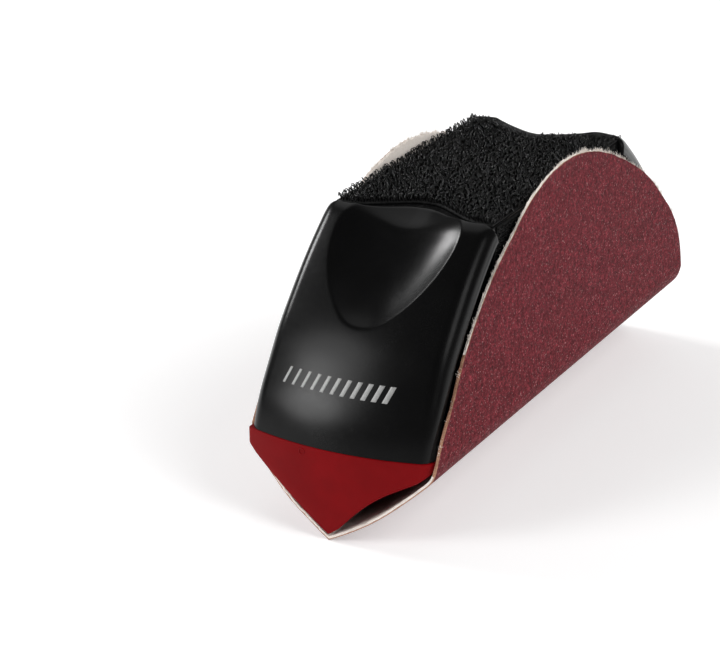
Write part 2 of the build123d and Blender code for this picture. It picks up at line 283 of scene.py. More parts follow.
def satin_red():
    m, nt, b, v = material("satin_red_profile")
    cloud = tex_noise(nt, v, 70, 4, 0.6)
    fine = tex_noise(nt, v, 2600, 4, 0.6)
    nt.links.new(ramp(nt, cloud.outputs["Fac"], [(0.25, lin(106, 1, 5)), (0.55, lin(116, 2, 7)), (0.85, lin(128, 3, 10))]), b.inputs["Base Color"])
    nt.links.new(maths(nt, "ADD", maths(nt, "MULTIPLY", fine.outputs["Fac"], 0.22), 0.26), b.inputs["Roughness"])
    b.inputs["Specular IOR Level"].default_value = 0.07
    c = bump(nt, b, fine.outputs["Fac"], 0.00002, 0.7)
    wave = tex_noise(nt, v, 160, 3)
    bump(nt, b, wave.outputs["Fac"], 0.00004, 0.4, c)
    return m


def grit():
    m, nt, b, v = material("maroon_grit")
    grain = tex_voronoi(nt, v, 2300)
    grain2 = tex_voronoi(nt, v, 3300)
    blotch = tex_noise(nt, v, 620, 5, 0.65)
    broad = tex_noise(nt, v, 28, 4, 0.6)
    base = ramp(nt, blotch.outputs["Fac"], [(0.3, lin(58, 16, 23)), (0.5, lin(98, 32, 41)), (0.7, lin(128, 48, 58))])
    base = mix(nt, maths(nt, "MULTIPLY", broad.outputs["Fac"], 0.35), base, lin(102, 37, 36))
    cell = ramp(nt, grain.outputs["Color"], [(0.0, grey(0.28)), (0.45, grey(0.8)), (0.8, grey(1.2)), (1.0, grey(2.0))])
    base = mix(nt, 0.9, base, cell, "MULTIPLY")
    # painted highlight: a few random cells have their base colour lightened towards pale pink as glints on the grains,
    # on top of their real lower roughness below
    glint = ramp(nt, grain2.outputs["Color"], [(0.0, grey(0.0)), (0.85, grey(0.0)), (0.93, grey(0.5)), (1.0, grey(0.9))])
    base = mix(nt, glint, base, lin(186, 128, 130))
    nt.links.new(base, b.inputs["Base Color"])
    spark = ramp(nt, grain2.outputs["Color"], [(0.0, grey(0.78)), (0.8, grey(0.62)), (0.93, grey(0.25)), (1.0, grey(0.12))])
    nt.links.new(spark, b.inputs["Roughness"])
    b.inputs["Specular IOR Level"].default_value = 0.09
    c = bump(nt, b, maths(nt, "SUBTRACT", 1.0, grain.outputs["Distance"]), 0.00016, 0.9)
    bump(nt, b, blotch.outputs["Fac"], 0.00012, 0.5, c)
    return m


def fleece():
    m, nt, b, v = material("loop_fleece")
    fine = tex_noise(nt, v, 3000, 6, 0.7, 0.8)
    tuft = tex_noise(nt, v, 700, 4, 0.6, 0.4)
    c = ramp(nt, fine.outputs["Fac"], [(0.25, lin(214, 198, 186)), (0.5, lin(243, 235, 226)), (0.75, lin(255, 252, 248))])
    c = mix(nt, maths(nt, "MULTIPLY", tuft.outputs["Fac"], 0.4), c, lin(242, 228, 218))
    nt.links.new(c, b.inputs["Base Color"])
    nt.links.new(maths(nt, "ADD", maths(nt, "MULTIPLY", fine.outputs["Fac"], 0.2), 0.78), b.inputs["Roughness"])
    b.inputs["Specular IOR Level"].default_value = 0.2
    b.inputs["Sheen Weight"].default_value = 0.25
    k = bump(nt, b, fine.outputs["Fac"], 0.00025, 0.9)
    bump(nt, b, tuft.outputs["Fac"], 0.0004, 0.6, k)
    return m


def cloth_edge():
    m, nt, b, v = material("cloth_edge")
    fine = tex_noise(nt, v, 2600, 5, 0.7)
    nt.links.new(ramp(nt, fine.outputs["Fac"], [(0.3, lin(128, 84, 66)), (0.6, lin(176, 134, 108)), (0.8, lin(206, 170, 144))]), b.inputs["Base Color"])
    nt.links.new(maths(nt, "ADD", maths(nt, "MULTIPLY", fine.outputs["Fac"], 0.2), 0.75), b.inputs["Roughness"])
    bump(nt, b, fine.outputs["Fac"], 0.0002, 0.8)
    return m


def nylon():
    m, nt, b, v = material("hook_nylon")
    fine = tex_noise(nt, v, 1500, 3, 0.6)
    nt.links.new(ramp(nt, fine.outputs["Fac"], [(0.3, grey(0.001)), (0.7, grey(0.0025))]), b.inputs["Base Color"])
    nt.links.new(maths(nt, "ADD", maths(nt, "MULTIPLY", fine.outputs["Fac"], 0.14), 0.07), b.inputs["Roughness"])
    b.inputs["Specular IOR Level"].default_value = 0.46
    bump(nt, b, fine.outputs["Fac"], 0.00002, 0.5)
    return m


def tape_weave():
    m, nt, b, v = material("tape_backing")
    fine = tex_noise(nt, v, 2400, 4, 0.6)
    cell = tex_voronoi(nt, v, 1300)
    nt.links.new(ramp(nt, fine.outputs["Fac"], [(0.3, grey(0.004)), (0.7, grey(0.014))]), b.inputs["Base Color"])
    nt.links.new(maths(nt, "ADD", maths(nt, "MULTIPLY", fine.outputs["Fac"], 0.2), 0.6), b.inputs["Roughness"])
    b.inputs["Specular IOR Level"].default_value = 0.15
    bump(nt, b, cell.outputs["Distance"], 0.00025, 0.9)
    return m


def silver_ink():
    m, nt, b, v = material("silver_ink")
    fine = tex_noise(nt, v, 3200, 4, 0.6)
    nt.links.new(ramp(nt, fine.outputs["Fac"], [(0.3, lin(132, 132, 132)), (0.7, lin(168, 168, 166))]), b.inputs["Base Color"])
    nt.links.new(maths(nt, "ADD", maths(nt, "MULTIPLY", fine.outputs["Fac"], 0.2), 0.42), b.inputs["Roughness"])
    b.inputs["Metallic"].default_value = 0.35
    bump(nt, b, fine.outputs["Fac"], 0.00001, 0.5)
    return m


def zinc():
    m, nt, b, v = material("zinc_plate")
    fine = tex_noise(nt, v, 1500, 5, 0.6)
    cloud = tex_noise(nt, v, 220, 3)
    nt.links.new(ramp(nt, cloud.outputs["Fac"], [(0.3, lin(150, 152, 156)), (0.7, lin(196, 198, 200))]), b.inputs["Base Color"])
    nt.links.new(maths(nt, "ADD", maths(nt, "MULTIPLY", fine.outputs["Fac"], 0.25), 0.25), b.inputs["Roughness"])
    b.inputs["Metallic"].default_value = 1.0
    bump(nt, b, fine.outputs["Fac"], 0.00002, 0.6)
    return m


M_GLOSS, M_SATIN, M_RED = gloss_black(), satin_black(), satin_red()
M_GRIT, M_FLEECE, M_EDGE = grit(), fleece(), cloth_edge()
M_NYLON, M_TAPE, M_INK, M_ZINC = nylon(), tape_weave(), silver_ink(), zinc()

# --------------------------------------------------------- the handle's surface

SEAM = 26.2
CAP_SIDE = [
    (-87.2, 26.2), (-84.3, 35.1), (-79.7, 43.3), (-74.5, 51.3), (-68.0, 58.9), (-60.9, 66.4),
    (-54.7, 72.1), (-50.2, 75.8), (-47.2, 77.9), (-44.2, 79.1), (-40.0, 79.6), (-35.0, 79.7), (-28.0, 79.7),
]
R_BOW = (26.0**2 + 4.0**2) / 8.0
SADDLE_Z = 77.9
prof_pts = curve2(CAP_SIDE, 3000)
prof_s = np.r_[0, np.cumsum(np.hypot(*np.diff(prof_pts, axis=0).T))]
prof_t = np.gradient(prof_pts, axis=0)
prof_t /= np.linalg.norm(prof_t, axis=1, keepdims=True)


def bow(x):
    return np.sqrt(np.maximum(R_BOW**2 - np.asarray(x, float) ** 2, 1)) - (R_BOW - 4.0)


def prof(s):
    return np.interp(s, prof_s, prof_pts[:, 0]), np.interp(s, prof_s, prof_pts[:, 1])


def inward(s):
    """Unit vector (y, z) into the body, level at the seam."""
    ny, nz = np.interp(s, prof_s, prof_t[:, 1]), -np.interp(s, prof_s, prof_t[:, 0])
    k = smooth01(np.asarray(s) / 14.0)
    y, z = 1 - k + ny * k, nz * k
    n = np.hypot(y, z)
    return y / n, z / n


def cap_half(z):
    return 27.4 - 0.028 * (z - SEAM)


def saddle_half(z):
    return 26.1 - 0.0419 * (z - SEAM)


def crown(z, x):
    return 0.0 * z * x


SCOOP_RIM = [
    (0, 33.9), (2.8, 34.2), (5.8, 35.7), (9.0, 38.7), (12.2, 42.9), (15.0, 48.1), (17.0, 53.6), (18.1, 59.0),
    (18.3, 63.8), (17.4, 68.3), (15.2, 72.3), (12.0, 75.6), (8.4, 78.4), (4.4, 80.9), (0, 82.0),
]
SCOOP_X, SCOOP_S, SCOOP_DEEP = -0.3, 60.0, 5.2
_h = np.array(SCOOP_RIM, float)
_r = curve2(np.concatenate([_h[::-1] * [-1, 1], _h[1:]]), 1600)
_r = _r[_r[:, 0] >= -1e-6]
_th = np.arctan2(_r[:, 1] - SCOOP_S, _r[:, 0])
_rr = np.hypot(_r[:, 0], _r[:, 1] - SCOOP_S)
_o = np.argsort(_th)
_th, _rr = _th[_o], _rr[_o]


def scoop(x, s):
    dx, ds = np.abs(np.asarray(x) - SCOOP_X), np.asarray(s) - SCOOP_S
    r = np.hypot(dx, ds)
    rim = np.interp(np.arctan2(ds, dx), _th, _rr)
    rho = r / rim
    d = SCOOP_DEEP * (1 - rho**2.3)
    soft = 0.16 + 0.06 * smooth01((np.asarray(s) - 66.0) / 14.0)
    fade = smooth01((1.30 - rho) / 0.25)
    return np.where(rho < 1.30, 0.5 * (d + np.sqrt(d * d + soft * soft)) * fade, 0.0)


_e = curve2([(-17, 42.7), (-13, 40.5), (-8, 37.2), (-3.5, 34.6), (0, 34.0), (3.5, 34.6), (8, 37.2), (13, 40.5), (17, 42.7), (21, 43.5), (27, 43.9)], 600)
_e = _e[_e[:, 0] >= 0]
EDGE_T, EDGE_Y = _e[:, 0], _e[:, 1]


def edge_y(x):
    """Where the cap ends and the saddle's hook tape begins."""
    a = np.abs(np.asarray(x, float) - 0.3)
    return -np.interp(a, EDGE_T, EDGE_Y)


def cap_point(x, s, d_in=0.0, dish=True):
    y, z = prof(s)
    iy, iz = inward(s)
    dent = scoop(x, s) if dish else 0.0
    y2 = y - bow(x) + iy * (d_in + dent)
    z2 = z + crown(z, x) + iz * (d_in + dent)
    return y2, np.maximum(z2, SEAM)


def housing_mesh():
    n_side, n_step, n_cap, n_fil, n_front = 12, 3, 4, 9, 129
    # columns of the left side, from the bottom line up to the front face
    kinds, par = [], []
    for i in range(n_side):
        kinds.append("side"), par.append(1 - i / (n_side - 1))
    for i in range(n_step):
        kinds.append("step"), par.append(1 - (i + 1) / (n_step + 1))
    for i in range(n_cap):
        kinds.append("cap"), par.append(1 - i / n_cap)
    for i in range(n_fil):
        kinds.append("fil"), par.append(1 - i / n_fil)
    left = list(zip(kinds, par))
    cols = [(-1, k, p) for k, p in left]
    cols += [(0, "front", f) for f in np.linspace(-1, 1, n_front)]
    cols += [(1, k, p) for k, p in reversed(left)]
    ncol = len(cols)

    s_fix = 64.0
    s_rows = np.r_[np.linspace(0, 6, 14)[:-1], np.linspace(6, 30, 40)[:-1], np.linspace(30, s_fix, 92)]
    tau = np.r_[np.linspace(0, 0.94, 26)[1:], 0.965, 0.985, 1.0]
    y_s = prof_pts[:, 0]

    def s_at_y(y):
        return np.interp(y, y_s, prof_s)

    def row(s_of, drop=None, saddle_y=None, tuck=0.0):
        out = np.zeros((ncol, 3))
        for c, (side, kind, p) in enumerate(cols):
            if saddle_y is None:
                if kind == "front":
                    s = s_of(0)
                    half = cap_half(prof(s)[1]) - fillet(s)
                    x = p * half
                    s = s_of(x)
                    y, z = cap_point(x, s)
                    z -= drop if drop else 0
                    out[c] = x, y, z
                    continue
                x_ref = side * 26.0
                s = s_of(x_ref)
                r = fillet(s)
                dc = max(r + 0.35, step_at(s))
                w0 = cap_half(prof(s)[1])
                if kind == "fil":
                    ph = p * math.pi / 2
                    x = side * (w0 - r + r * math.sin(ph))
                    y, z = cap_point(x, s, r * (1 - math.cos(ph)))
                    z -= drop if drop else 0
                    out[c] = x - side * tuck * (w0 - saddle_half(z)) * math.sin(ph), y, max(z, SEAM)
                    continue
                if kind == "cap":
                    d = r + (dc - r) * p
                    y, z = cap_point(side * w0, s, d, False)
                    out[c] = side * (cap_half(z) - tuck * (w0 - saddle_half(z))), y, z
                    continue
                y, z = cap_point(side * w0, s, dc + 0.3, False)
                if kind == "step":
                    y0, z0 = cap_point(side * w0, s, dc, False)
                    q = max(float(smooth01(p)), tuck)
                    yy, zz = y0 + (y - y0) * p, z0 + (z - z0) * p
                    out[c] = side * (cap_half(zz) * (1 - q) + saddle_half(zz) * q), yy, zz
                    continue
                zz = SEAM + (z - SEAM) * (1 - p)
                out[c] = side * saddle_half(zz), y, zz
            else:
                r = 1.0
                if kind == "front":
                    half = saddle_half(SADDLE_Z) - r
                    out[c] = p * half, saddle_y(p * half), SADDLE_Z
                    continue
                ys = saddle_y(side * 26.0)
                if kind == "fil":
                    ph = p * math.pi / 2
                    out[c] = side * (saddle_half(SADDLE_Z) - r + r * math.sin(ph)), ys, SADDLE_Z - r * (1 - math.cos(ph))
                    continue
                dc = step_at(s_end_side)
                if kind == "cap":
                    z = SADDLE_Z - (r + (dc - 1.6 - r) * p)
                elif kind == "step":
                    z = SADDLE_Z - (dc - 1.6 + 0.3 * p)
                else:
                    zb = SADDLE_Z - (dc - 1.3)
                    z = SEAM + (zb - SEAM) * (1 - p)
                out[c] = side * saddle_half(z), ys, z
        return out

    def fillet(s):
        return 3.0 + 0.9 * float(smooth01(s / 25.0)) - 0.3 * float(smooth01((s - 60) / 14.0))

    def step_at(s):
        return float(np.interp(s, [0, 8, 20, 35, 50, 62, 70, 76], [3.6, 4.2, 4.6, 4.9, 5.0, 5.0, 5.0, 4.9]))

    s_end_side = float(s_at_y(edge_y(26.0)))
    rows = [row(lambda x, s=s: s) for s in s_rows]
    for t in tau:
        rows.append(row(lambda x, t=t: s_fix + (float(s_at_y(edge_y(x))) - s_fix) * t, drop=0.45 * max(0.0, (t - 0.94) / 0.06) ** 2, tuck=1 - math.sqrt(1 - min(max((t - 0.72) / 0.28, 0), 1) ** 2)))
    first = row(None, saddle_y=lambda x: float(edge_y(x)) + 0.12)
    last = rows[-1]
    wall = np.array([k in ("cap", "step", "side") for _, k, _ in cols])
    first[wall, 1] = last[wall, 1] + 0.12
    for q in (0.15, 0.5, 0.85):
        mid = last * (1 - q) + first * q
        rows.append(mid)
    rows.append(first)
    for q in np.linspace(0, 1, 26)[1:]:
        level = row(None, saddle_y=lambda x, q=q: (float(edge_y(x)) + 0.12) * (1 - q))
        level[wall, 1] = first[wall, 1] * (1 - q)
        rows.append(level)
    half = np.array(rows)
    rear = half[:-1][::-1].copy()
    rear[..., 1] *= -1
    outer = np.concatenate([half, rear], 0)
    return outer


outer = housing_mesh()
nr, nc = outer.shape[:2]
# the inner skin: the outer one moved in by the wall, with its small features eased
soft = outer.copy()
for _ in range(3):
    soft[1:-1, 1:-1] = (soft[1:-1, 1:-1] + (soft[:-2, 1:-1] + soft[2:, 1:-1] + soft[1:-1, :-2] + soft[1:-1, 2:]) / 4) / 2
nrm = grid_normals(soft)
if nrm[nr // 2, nc // 2, 2] < 0:
    nrm = -nrm
for e in (0, -1):
    nrm[e, :, 2] = 0
    nrm[:, e, 2] = 0
nrm /= np.maximum(np.linalg.norm(nrm, axis=-1, keepdims=True), 1e-9)
inner = outer - nrm * 1.35
inner[0, :, 2] = inner[-1, :, 2] = SEAM
inner[:, 0, 2] = inner[:, -1, 2] = SEAM
verts = np.concatenate([outer.reshape(-1, 3), inner.reshape(-1, 3)])
faces = [grid_faces(nr, nc), grid_faces(nr, nc, nr * nc, True)]
loop = np.r_[np.arange(nc), np.arange(1, nr) * nc + nc - 1, (nr - 1) * nc + np.arange(nc - 2, -1, -1), np.arange(nr - 2, 0, -1) * nc]
nxt = np.roll(loop, -1)
faces.append(np.stack([loop, loop + nr * nc, nxt + nr * nc, nxt], -1))
housing = add_mesh("housing_shell", verts, np.concatenate(faces), [M_GLOSS])
import bmesh


def clean(ob, dist=0.00001):
    bm = bmesh.new()
    bm.from_mesh(ob.data)
    bmesh.ops.remove_doubles(bm, verts=bm.verts, dist=dist)
    bmesh.ops.dissolve_degenerate(bm, edges=bm.edges, dist=dist / 2)
    bmesh.ops.recalc_face_normals(bm, faces=bm.faces)
    bm.to_mesh(ob.data)
    bm.free()
    ob.data.update()


def sharp_by_angle(ob, degrees):
    """Marks edges sharper than this, so the smooth shading breaks there."""
    bm = bmesh.new()
    bm.from_mesh(ob.data)
    lim = math.radians(degrees)
    for e in bm.edges:
        e.smooth = not (len(e.link_faces) == 2 and e.calc_face_angle(0) > lim)
    bm.to_mesh(ob.data)
    bm.free()


clean(housing)
sharp_by_angle(housing, 38)
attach(housing, "handle")
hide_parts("housing")

# ---- printed mark: a plain row of slanted bars on the front end
pv, pf = [], []
bars = 11
for i in range(bars):
    x0 = -17.6 + i * (31.0 / (bars - 1))
    w = 0.8 + 0.07 * i
    nx, ns = 4, 14
    for level, lift in ((0, 0.045), (1, -0.08)):
        g = np.zeros((ns, nx, 3))
        for a in range(ns):
            sv = 14.9 + 4.7 * a / (ns - 1)
            for b in range(nx):
                x = x0 + (b / (nx - 1) - 0.5) * w + (sv - 17.2) * 0.32
                y, z = cap_point(x, sv, -lift)
                g[a, b] = x, y, z
        base = len(pv)
        pv.extend(g.reshape(-1, 3))
        pf.extend(grid_faces(ns, nx, base, level == 1))
    b0, b1 = len(pv) - 2 * ns * nx, len(pv) - ns * nx
    rim = list(range(nx)) + [a * nx + nx - 1 for a in range(1, ns)] + [(ns - 1) * nx + b for b in range(nx - 2, -1, -1)] + [a * nx for a in range(ns - 2, 0, -1)]
    for a, b in zip(rim, rim[1:] + rim[:1]):
        pf.append((b0 + a, b1 + a, b1 + b, b0 + b))
mark = add_mesh("bar_print_front", pv, pf, [M_INK])
clean(mark, 0.000002)
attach(mark, "handle")

# ------------------------------------------------------------------- hook tapes

rng = np.random.RandomState(11)


def hooks(points, normals, along, height, radius, sides, segs, seed):
    """A hook at each point: a stem, leaning a little, that curls over at its tip."""
    r = np.random.RandomState(seed)
    n = len(points)
    up = normals / np.linalg.norm(normals, axis=1, keepdims=True)
    turn = r.uniform(0, 2 * math.pi, n)
    a = along - (along * up).sum(1, keepdims=True) * up
    a /= np.linalg.norm(a, axis=1, keepdims=True)
    b = np.cross(up, a)
    lean = np.cos(turn)[:, None] * a + np.sin(turn)[:, None] * b
    h = height * r.uniform(0.78, 1.08, n)[:, None]
    curl = r.uniform(0.6, 1.15, n)[:, None]
    shape = {7: [(0, 0), (0.03, 0.36), (0.10, 0.66), (0.30, 0.92), (0.54, 0.95), (0.68, 0.74), (0.62, 0.52)],
             5: [(0, 0), (0.04, 0.5), (0.14, 0.86), (0.34, 0.98), (0.48, 0.78)]}[segs]
    tilt = r.normal(0, 0.16, (n, 2))
    lines = []
    for fx, fz in shape:
        side = lean * fx * h * curl + (a * tilt[:, :1] + b * tilt[:, 1:]) * fz * h
        lines.append(points + up * fz * h + side)
    lines = np.stack(lines, 1)
    taper = np.linspace(1.15, 0.75, segs) * radius
    return tubes(lines, taper, sides)


def tape_piece(name, node, pts_fn, inside_fn, u_range, v_range, thick, pitch, height, radius, sides, segs, seed, back, shrink=0.0):
    r = np.random.RandomState(seed)
    us = np.arange(u_range[0], u_range[1], pitch)
    vs = np.arange(v_range[0], v_range[1], pitch * 0.9)
    uu, vv = np.meshgrid(us, vs)
    uu = uu + (np.arange(len(vs)) % 2)[:, None] * pitch / 2
    uu = (uu + r.normal(0, 0.10, uu.shape) * pitch).ravel()
    vv = (vv + r.normal(0, 0.10, vv.shape) * pitch).ravel()
    keep = inside_fn(uu, vv)
    uu, vv = uu[keep], vv[keep]
    p, n, al = pts_fn(uu, vv)
    hv, hf = hooks(p, n, al, height - shrink * smooth01((vv - 26.0) / 51.0)[:, None], radius, sides, segs, seed + 1)
    bv, bf = back
    verts = np.concatenate([np.asarray(bv, float), hv])
    k = len(bv)
    faces = [tuple(f) for f in bf] + [tuple(i + k for i in f) for f in hf]
    idx = [1] * len(bf) + [0] * len(hf)
    ob = add_mesh(name, verts, faces, [M_NYLON, M_TAPE], idx)
    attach(ob, "handle")
    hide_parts(node)
    return ob


def slab(top, bottom):
    """Closed plate between two grids of the same size."""
    r, c = top.shape[:2]
    v = np.concatenate([top.reshape(-1, 3), bottom.reshape(-1, 3)])
    f = [tuple(q) for q in grid_faces(r, c)] + [tuple(q) for q in grid_faces(r, c, r * c, True)]
    rim = list(range(c)) + [a * c + c - 1 for a in range(1, r)] + [(r - 1) * c + b for b in range(c - 2, -1, -1)] + [a * c for a in range(r - 2, 0, -1)]
    for a, b in zip(rim, rim[1:] + rim[:1]):
        f.append((a, a + r * c, b + r * c, b))
    return v, f


TOP_H = 78.5
top_half = float(saddle_half(SADDLE_Z)) - 0.15


def top_grid(z, inset):
    g = np.zeros((60, 40, 3))
    for j, x in enumerate(np.linspace(-top_half + inset, top_half - inset, 40)):
        e = float(edge_y(x)) + 0.35 + inset
        ys = np.linspace(e, -e, 60)
        g[:, j] = np.stack([np.full(60, x), ys, np.full(60, z)], -1)
    return g


def top_pts(u, v):
    n = np.tile(np.array([0.0, 0.0, 1.0]), (len(u), 1))
    edge = np.clip((np.abs(u) - (top_half - 1.2)) / 1.2, 0, 1)
    n[:, 0] = np.sign(u) * edge * 0.5
    p = np.stack([u, v, np.full(len(u), TOP_H - 0.05)], -1)
    return p, n, np.tile(np.array([0.0, 1.0, 0.0]), (len(u), 1))


tape_top = tape_piece(
    "hook_tape_top_field", "hook_tape_top", top_pts,
    lambda u, v: (np.abs(u) < top_half - 0.1) & (np.abs(v) < -edge_y(u) - 0.55),
    (-top_half, top_half), (-44, 44), 0.6, 0.92, 1.9, 0.15, 4, 7, 21,
    slab(top_grid(TOP_H, 0.0), top_grid(SADDLE_Z + 0.02, 0.0)),
)

# side tapes, on the set-in sides under the flaps
SIDE_OUT = [
    (-79.2, 27.6), (-74.6, 35.6), (-69.0, 43.6), (-63.0, 50.4), (-55.5, 57.4), (-48.6, 63.2),
    (-44.4, 67.2), (-42.4, 70.4), (-41.4, 74.0), (-40.8, 77.3),
]
side_curve = curve2(SIDE_OUT, 90)
side_curve[:, 1] = np.minimum(side_curve[:, 1], 77.3)
side_curve = side_curve[np.r_[True, np.diff(side_curve[:, 0]) > 1e-4]]


def side_top_z(y):
    a = np.abs(y)
    return np.interp(-a, side_curve[:, 0], side_curve[:, 1])


def side_grid(sgn, off):
    ys = np.r_[side_curve[:, 0], np.linspace(-40.0, 40.0, 41), -side_curve[::-1, 0]]
    g = np.zeros((30, len(ys), 3))
    for j, y in enumerate(ys):
        zt = float(side_top_z(y))
        z = np.linspace(27.4, max(zt, 27.6), 30)
        g[:, j] = np.stack([sgn * (saddle_half(z) + off), np.full(30, y), z], -1)
    return g


def side_pts(sgn):
    def fn(u, v):
        p = np.stack([sgn * (saddle_half(v) + 0.32), u, v], -1)
        n = np.tile(np.array([sgn * 1.0, 0.0, 0.04]), (len(u), 1))
        top = np.clip((v - 76.2) / 1.2, 0, 1)
        n[:, 2] += top * 0.6
        return p, n, np.tile(np.array([0.0, 1.0, 0.0]), (len(u), 1))
    return fn


for sgn, nm in ((1, "right"), (-1, "left")):
    a, b = side_grid(sgn, 0.36), side_grid(sgn, 0.02)
    if sgn < 0:
        a, b = a[:, ::-1], b[:, ::-1]
    tape_piece(
        "hook_tape_" + nm + "_field", "hook_tape_" + nm, side_pts(sgn),
        lambda u, v: (v > 28.0) & (v < side_top_z(u) - 0.4) & (np.abs(u) < 78.8),
        (-82, 82), (27.8, 77.4), 0.6, 0.95, 1.34, 0.13, 3, 7, 31 + sgn,
        slab(a, b), 0.44,
    )

# ---------------------------------------------------------------- red profile

CONCAVE = [
    (-0.9, 1.8), (2.5, 4.3), (4.3, 6.3), (7.3, 9.4), (11.1, 12.8), (16.0, 16.2), (20.3, 18.5), (24.0, 20.4),
]
conc = curve2(CONCAVE, 60)
low_pts = np.array([(-27.8, 21.9), (-25.2, 19.5), (-0.9, 1.8)] + [tuple(p) for p in conc[1:]] + [(26.0, 22.0), (27.0, 22.9), (27.8, 23.9)])


def end_y(x, corner=87.2):
    return corner + bow(x)


def boxgrid(xs, nj, ks, mapping):
    """Closed grid with a box's topology, mapped to the shape."""
    ni, nk = len(xs), len(ks)
    index, verts = {}, []

    def vid(i, j, k):
        key = (i, j, k)
        if key not in index:
            index[key] = len(verts)
            verts.append(mapping(i, j, k))
        return index[key]

    f = []
    for i in range(ni - 1):
        for j in range(nj - 1):
            f.append((vid(i, j, 0), vid(i + 1, j, 0), vid(i + 1, j + 1, 0), vid(i, j + 1, 0)))
            f.append((vid(i, j, nk - 1), vid(i, j + 1, nk - 1), vid(i + 1, j + 1, nk - 1), vid(i + 1, j, nk - 1)))
    for i in range(ni - 1):
        for k in range(nk - 1):
            f.append((vid(i, 0, k), vid(i, 0, k + 1), vid(i + 1, 0, k + 1), vid(i + 1, 0, k)))
            f.append((vid(i, nj - 1, k), vid(i + 1, nj - 1, k), vid(i + 1, nj - 1, k + 1), vid(i, nj - 1, k + 1)))
    for j in range(nj - 1):
        for k in range(nk - 1):
            f.append((vid(0, j, k), vid(0, j + 1, k), vid(0, j + 1, k + 1), vid(0, j, k + 1)))
            f.append((vid(ni - 1, j, k), vid(ni - 1, j, k + 1), vid(ni - 1, j + 1, k + 1), vid(ni - 1, j + 1, k)))
    return verts, f


px = np.unique(np.r_[-27.8, -27.72, -27.5, -27.2, -26.7, -26.2, -25.2, np.linspace(-25.2, -0.9, 20), np.linspace(-0.9, 24.0, 24), 24.8, 25.4, 26.0, 26.5, 27.0, 27.35, 27.6, 27.75, 27.8].round(4))
pz = np.interp(px, low_pts[:, 0], low_pts[:, 1])
pk = np.linspace(-1, 1, 121)
PJ = 5


def prof_map(i, j, k):
    x = px[i]
    z = pz[i] + (26.15 - pz[i]) * j / (PJ - 1)
    rc = 2.8 if x > 0 else 0.6
    over = min(max(abs(x) - (27.8 - rc), 0.0), rc)
    return x, pk[k] * (end_y(x, 87.6) - (rc - math.sqrt(rc**2 - over**2)) * 0.8), z


verts, faces = boxgrid(px, PJ, pk, prof_map)
red = add_mesh("profile_body", verts, faces, [M_RED])
clean(red, 0.000005)
bm = bmesh.new()
bm.from_mesh(red.data)
edges = [e for e in bm.edges if len(e.link_faces) == 2 and e.calc_face_angle(0) > math.radians(24)]
bmesh.ops.bevel(bm, geom=edges, offset=0.6 * MM, offset_type="OFFSET", segments=4, profile=0.5, affect="EDGES", clamp_overlap=True)
bmesh.ops.recalc_face_normals(bm, faces=bm.faces)
bm.to_mesh(red.data)
bm.free()
red.data.polygons.foreach_set("use_smooth", [True] * len(red.data.polygons))
sharp_by_angle(red, 40)
# its two tongues
tv, tf = [], []
for sy in (-1, 1):
    loopx = [(-1.2, 26.0), (-1.2, 30.2), (-1.5, 31.0), (-1.5, 31.8), (-1.2, 32.6), (-1.2, 33.8), (-0.8, 34.2), (0.8, 34.2), (1.2, 33.8), (1.2, 32.6), (1.5, 31.8), (1.5, 31.0), (1.2, 30.2), (1.2, 26.0)]
    n = len(loopx)
    b0 = len(tv)
    stations = [(-10.0, 0.8), (-9.6, 1.0), (9.6, 1.0), (10.0, 0.8)]
    for q, sc in stations:
        tv.extend([(x * sc, sy * 46.0 + q, 26.0 + (z - 26.0) * (0.97 if sc < 1 else 1)) for x, z in loopx])
    for r_ in range(len(stations) - 1):
        for i in range(n):
            a, b = i, (i + 1) % n
            tf.append((b0 + r_ * n + a, b0 + r_ * n + b, b0 + (r_ + 1) * n + b, b0 + (r_ + 1) * n + a))
    tf.append(tuple(b0 + i for i in reversed(range(n))))
    tf.append(tuple(b0 + (len(stations) - 1) * n + i for i in range(n)))
tongues = add_mesh("profile_tongues", tv, tf, [M_RED], smooth=False)
clean(tongues, 0.000001)
# the moulding's gate mark, on the front face under the seam
gx, gz, ring = -9.0, 24.4, []
gv, gf = [], []
segs, tube_n = 28, 8
for a in range(segs):
    t = 2 * math.pi * a / segs
    for b in range(tube_n):
        u = 2 * math.pi * b / tube_n
        rr = 0.85 + 0.17 * math.cos(u)
        x = gx + rr * math.cos(t)
        gv.append((x, -end_y(x, 87.6) + 0.02 - 0.16 * math.sin(u), gz + rr * math.sin(t)))
for a in range(segs):
    for b in range(tube_n):
        a2, b2 = (a + 1) % segs, (b + 1) % tube_n
        gf.append((a * tube_n + b, a2 * tube_n + b, a2 * tube_n + b2, a * tube_n + b2))
gate = add_mesh("profile_gate_mark", gv, gf, [M_RED])
clean(gate, 0.000001)
for o in (red, tongues, gate):
    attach(o, "profile")
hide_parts("profile_insert")

# --------------------------------------------------------------- abrasive sheet

HINGE_Z = 25.4
SHEET_T = 0.92
LEAN_V = math.tan(math.radians(3.0))
SHEET_RIGHT = [(-0.9, 0.0), (5.9, 3.6), (13.6, 8.5), (19.8, 13.5), (25.2, 18.3), (28.3, 21.9), (29.35, HINGE_Z)]
SHEET_LEFT = [(-0.9, 0.0), (-26.1, 18.4), (-29.35, 21.6), (-29.4, HINGE_Z)]
OUT_RIGHT = [
    (-86.9, 25.4), (-83.2, 31.0), (-80.3, 34.6), (-76.2, 39.4), (-72.2, 44.8), (-66.8, 51.4), (-58.2, 59.2),
    (-50.8, 65.2), (-42.9, 70.0), (-36.9, 73.2), (-29.4, 77.3), (-21.2, 80.9), (-12.3, 83.6), (-2.6, 85.0),
    (10.6, 84.0), (19.9, 81.9), (30.1, 78.5), (40.5, 74.0), (51.1, 68.6), (59.7, 63.4), (67.4, 57.2),
    (76.4, 49.0), (82.2, 42.0), (85.6, 34.8), (86.6, 29.6), (86.9, 25.4),
]
